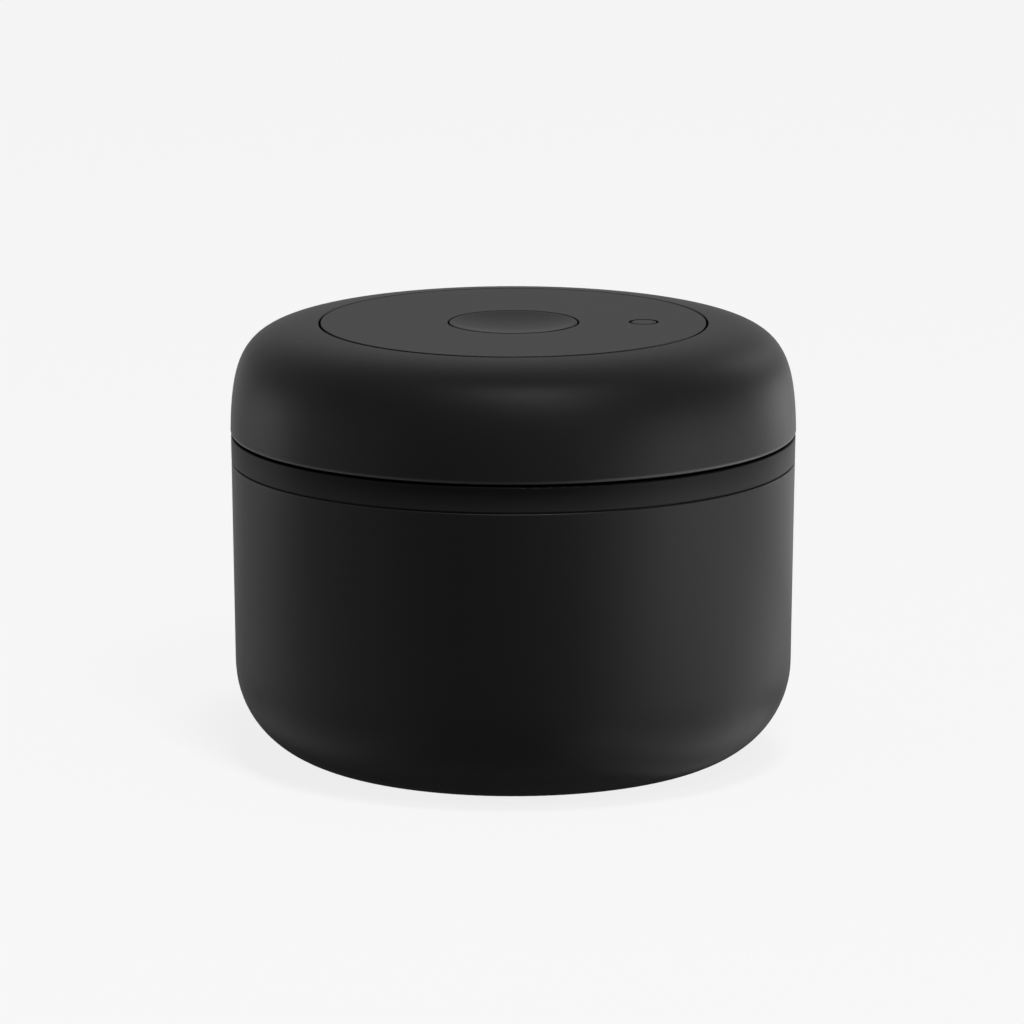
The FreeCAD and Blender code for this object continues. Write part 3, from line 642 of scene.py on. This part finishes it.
def coil(name, node, wire, turns):
    """A helix of round wire in the space of a node."""
    low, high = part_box(node)
    coil_radius = (high.x - low.x - wire) / 2
    bpy.ops.object.select_all(action="DESELECT")
    bpy.ops.mesh.primitive_circle_add(vertices=wire_sides, radius=wire / 2, rotation=(quarter_turn, 0, 0),
                                      location=(coil_radius, 0, low.z + wire / 2))
    piece = bpy.context.object
    piece.name = name
    bpy.ops.object.transform_apply()
    helix = piece.modifiers.new("helix", "SCREW")
    helix.steps = helix.render_steps = turn_steps
    helix.iterations = turns
    helix.screw_offset = (high.z - low.z - wire) / turns
    bpy.ops.object.modifier_apply(modifier=helix.name)
    bpy.ops.object.mode_set(mode="EDIT")
    bpy.ops.mesh.select_all(action="SELECT")
    bpy.ops.mesh.remove_doubles(threshold=merge_distance)
    bpy.ops.mesh.fill_holes(sides=0)
    bpy.ops.mesh.select_all(action="SELECT")
    bpy.ops.mesh.normals_make_consistent(inside=False)
    bpy.ops.object.mode_set(mode="OBJECT")
    piece.location.x = (low.x + high.x) / 2
    bpy.ops.object.transform_apply()
    bpy.ops.object.shade_smooth_by_angle(angle=smooth_angle)
    piece.data.materials.append(finishes["spring_steel"])
    return piece


# %% [markdown]
# ## The two springs
#
# One spring lifts the button and one lifts the indicator's pin. A rigid coil would stick through the
# part that presses on it. Each coil rides with the lid base and gets a mesh of its own.

# %% Springs
release_wire, release_turns = 0.0005, 4
indicator_wire, indicator_turns = 0.00035, 5
travels = {joint["name"]: joint.get("range_m") for joint in frame["record"]["behaviour"]["joints"]}

springs = {
    "release_coil": ("release_spring", release_wire, release_turns, "button_press"),
    "indicator_coil": ("indicator_spring", indicator_wire, indicator_turns, "indicator_drop"),
}
for name, (node, wire, turns, joint) in springs.items():
    made = coil(name, node, wire, turns)
    foot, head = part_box(node)
    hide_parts(node)
    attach(made, "lid_base")
    1 - travels[joint][1] / (head.z - foot.z)
    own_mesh(made)
    print(name, "faces", len(made.data.polygons), "height", round(head.z - foot.z, 5))

# %% [markdown]
# ## The floor
#
# The picture's background is one pale grey with no edge. The floor is painted and lit, so black surfaces
# mirror a real floor with a real shadow under the foot. For the camera, most of the floor's look is an even
# pale glow, which hides where the lamps fall off, and the rest is its own shading.

# %% Floor
floor_paint, paint_spread, paint_cloud = 0.5, 0.01, 0.4
floor_glow = 0.988
floor_radius = 6.0
camera_glow_share = 0.85
mirror_glow_share = 0.1


def ray_kinds(tree_signal):
    """One for rays from the camera, and one for mirrored or refracted rays."""
    camera_ray, glossy_ray, clear_ray = [tree_signal.node("ShaderNodeLightPath", name) for name in (
        "Is Camera Ray", "Is Glossy Ray", "Is Transmission Ray")]
    return camera_ray, camera_ray.maths("MAXIMUM", glossy_ray, clear_ray)


def floor_finish():
    """Pale paint that glows for the camera and, a little, in mirrors."""
    material, place = new_finish("pale_floor")
    paint = between(noise(place, paint_cloud), (floor_paint, ) * 3, (floor_paint + paint_spread, ) * 3)
    pale = place.node("ShaderNodeBsdfDiffuse", "BSDF", {}, {"Color": paint})
    glow = place.node("ShaderNodeEmission", "Emission", {},
                      {"Color": (floor_glow, floor_glow, floor_glow, 1)})
    from_camera, from_mirror = ray_kinds(place)
    both = place.node("ShaderNodeMixShader", "Shader", {}, {
        "Fac": from_camera * camera_glow_share + from_mirror * mirror_glow_share,
        "Shader": pale, "Shader_001": glow})
    place.node("ShaderNodeOutputMaterial", None, {}, {"Surface": both})
    return material


bpy.ops.object.select_all(action="DESELECT")
bpy.ops.mesh.primitive_circle_add(vertices=ring_steps, radius=floor_radius, fill_type="NGON")
floor = bpy.context.object
floor.name = "floor"
floor.data.materials.append(floor_finish())
print("floor across", 2 * floor_radius)

# %% [markdown]
# ## The backdrop
#
# The world gives two lights. Rays that scatter from a surface see a weak even fill. Rays from the camera
# and rays that are mirrored see the pale backdrop.

# %% Backdrop
backdrop_grey = 0.922
fill_level = 0.3
world = bpy.data.worlds.new("studio")
scene.world = world
world.use_nodes = True
world.node_tree.nodes.clear()
air = Signal(world.node_tree)
fill = air.node("ShaderNodeBackground", "Background", {}, {"Strength": fill_level})
backdrop = air.node("ShaderNodeBackground", "Background", {}, {
    "Color": (backdrop_grey, backdrop_grey, backdrop_grey, 1)})
from_camera, from_mirror = ray_kinds(air)
sky = air.node("ShaderNodeMixShader", "Shader", {},
               {"Fac": from_camera + from_mirror, "Shader": fill, "Shader_001": backdrop})
air.node("ShaderNodeOutputWorld", None, {}, {"Surface": sky})
print("backdrop", backdrop_grey)

# %% [markdown]
# ## Lamps
#
# Black shows little colour of its own. What draws its shape is the soft boxes that it mirrors. They stand
# turned to the right or left of the camera and risen from the floor, and look at the object. Cards lie at
# the floor and face up. All of them are hidden from the camera, as lamps outside the picture are. Some
# stand so near that they would burn white patches into the floor, so light linking keeps the floor out
# of their light.

# %% Kinds of lamp
middle = Vector((0, 0, 0.05))
floor_out = bpy.data.collections.new("floor_out")
floor_out.objects.link(floor)
floor_out.collection_objects[0].light_linking.link_state = "EXCLUDE"


def soft_box(name, turn, rise, distance, size, watts):
    """A rectangular area lamp. It stands turned to the right of the camera, and risen from the floor."""
    lamp = bpy.data.lights.new(name, "AREA")
    lamp.shape = "RECTANGLE"
    lamp.size, lamp.size_y = size
    lamp.energy = watts
    made = bpy.data.objects.new(name, lamp)
    turn, rise = math.radians(turn), math.radians(rise)
    way = Vector((math.sin(turn) * math.cos(rise), -math.cos(turn) * math.cos(rise), math.sin(rise)))
    made.location = middle + way * distance
    made.rotation_euler = way.to_track_quat("Z", "Y").to_euler()
    made.visible_camera = False
    scene.collection.objects.link(made)
    return made


def floor_card(name, turn, distance, height, size, watts):
    """A lamp that lies at the floor and faces up, with its second size along the circle."""
    made = soft_box(name, turn, 0, distance, size, watts)
    made.location.z = height
    made.rotation_euler = (math.pi, 0, math.radians(turn) - quarter_turn)


# %% [markdown]
# ## Soft boxes
#
# A box high in front draws the band along the shoulder of the dome, with a lower one beside it. A third
# one behind lights the shoulder at the right. Each row says how far a box is turned and risen, in degrees,
# then its distance, size and watts.

# %% Soft boxes
boxes = {
    "front_top_box": (12, 66, 4.0, (0.9, 0.8), 126.5),
    "front_box": (20, 42, 4.0, (0.75, 0.75), 55.8),
    "right_back_box": (140, 25, 1.0, (0.4, 0.4), 1.2),
}
for name, (turn, rise, distance, size, watts) in boxes.items():
    soft_box(name, turn, rise, distance, size, watts)
bpy.data.objects["right_back_box"].light_linking.receiver_collection = floor_out
print("boxes", list(boxes))

# %% [markdown]
# ## Low strips
#
# Low strips all round make the sides glow, more at the right than at the left.

# %% Strips
strip_rise = -1
strip_distance = 0.4
strip_size = (0.14, 0.08)
strips = {
    "right_front_strip": (65, 0.58),
    "right_strip": (95, 0.24),
    "right_back_strip": (130, 0.235),
    "far_right_strip": (155, 0.02),
    "left_front_strip": (-65, 0.14),
    "left_back_strip": (-110, 0.255),
    "far_left_strip": (-150, 0.03),
}
for name, (turn, watts) in strips.items():
    made = soft_box(name, turn, strip_rise, strip_distance, strip_size, watts)
    made.light_linking.receiver_collection = floor_out
print("strips", list(strips))

# %% [markdown]
# ## Floor cards
#
# The foot leans down, so it mirrors what lies on the floor. Cards there light it as the strips light the
# sides. Each row says how far a card is turned, how far out and how high it lies, its size and its watts.

# %% Cards
cards = {
    "far_card": (65, 0.2376, 0.004, (0.16, 0.25), 0.7),
    "near_card": (75, 0.115, 0.003, (0.07, 0.2), 0.12),
    "back_card": (140, 0.25, 0.004, (0.16, 0.25), 0.14),
    "left_back_card": (-135, 0.25, 0.004, (0.16, 0.25), 0.05),
    "left_card": (-75, 0.115, 0.003, (0.07, 0.2), 0.028),
    "foot_card": (55, 0.066, 0.001, (0.028, 0.085), 0.015),
    "under_card": (52, 0.048, 0.001, (0.008, 0.085), 0.001),
    "left_foot_card": (-55, 0.066, 0.001, (0.028, 0.085), 0.0035),
}
for name, (turn, distance, height, size, watts) in cards.items():
    floor_card(name, turn, distance, height, size, watts)
print("cards", list(cards))
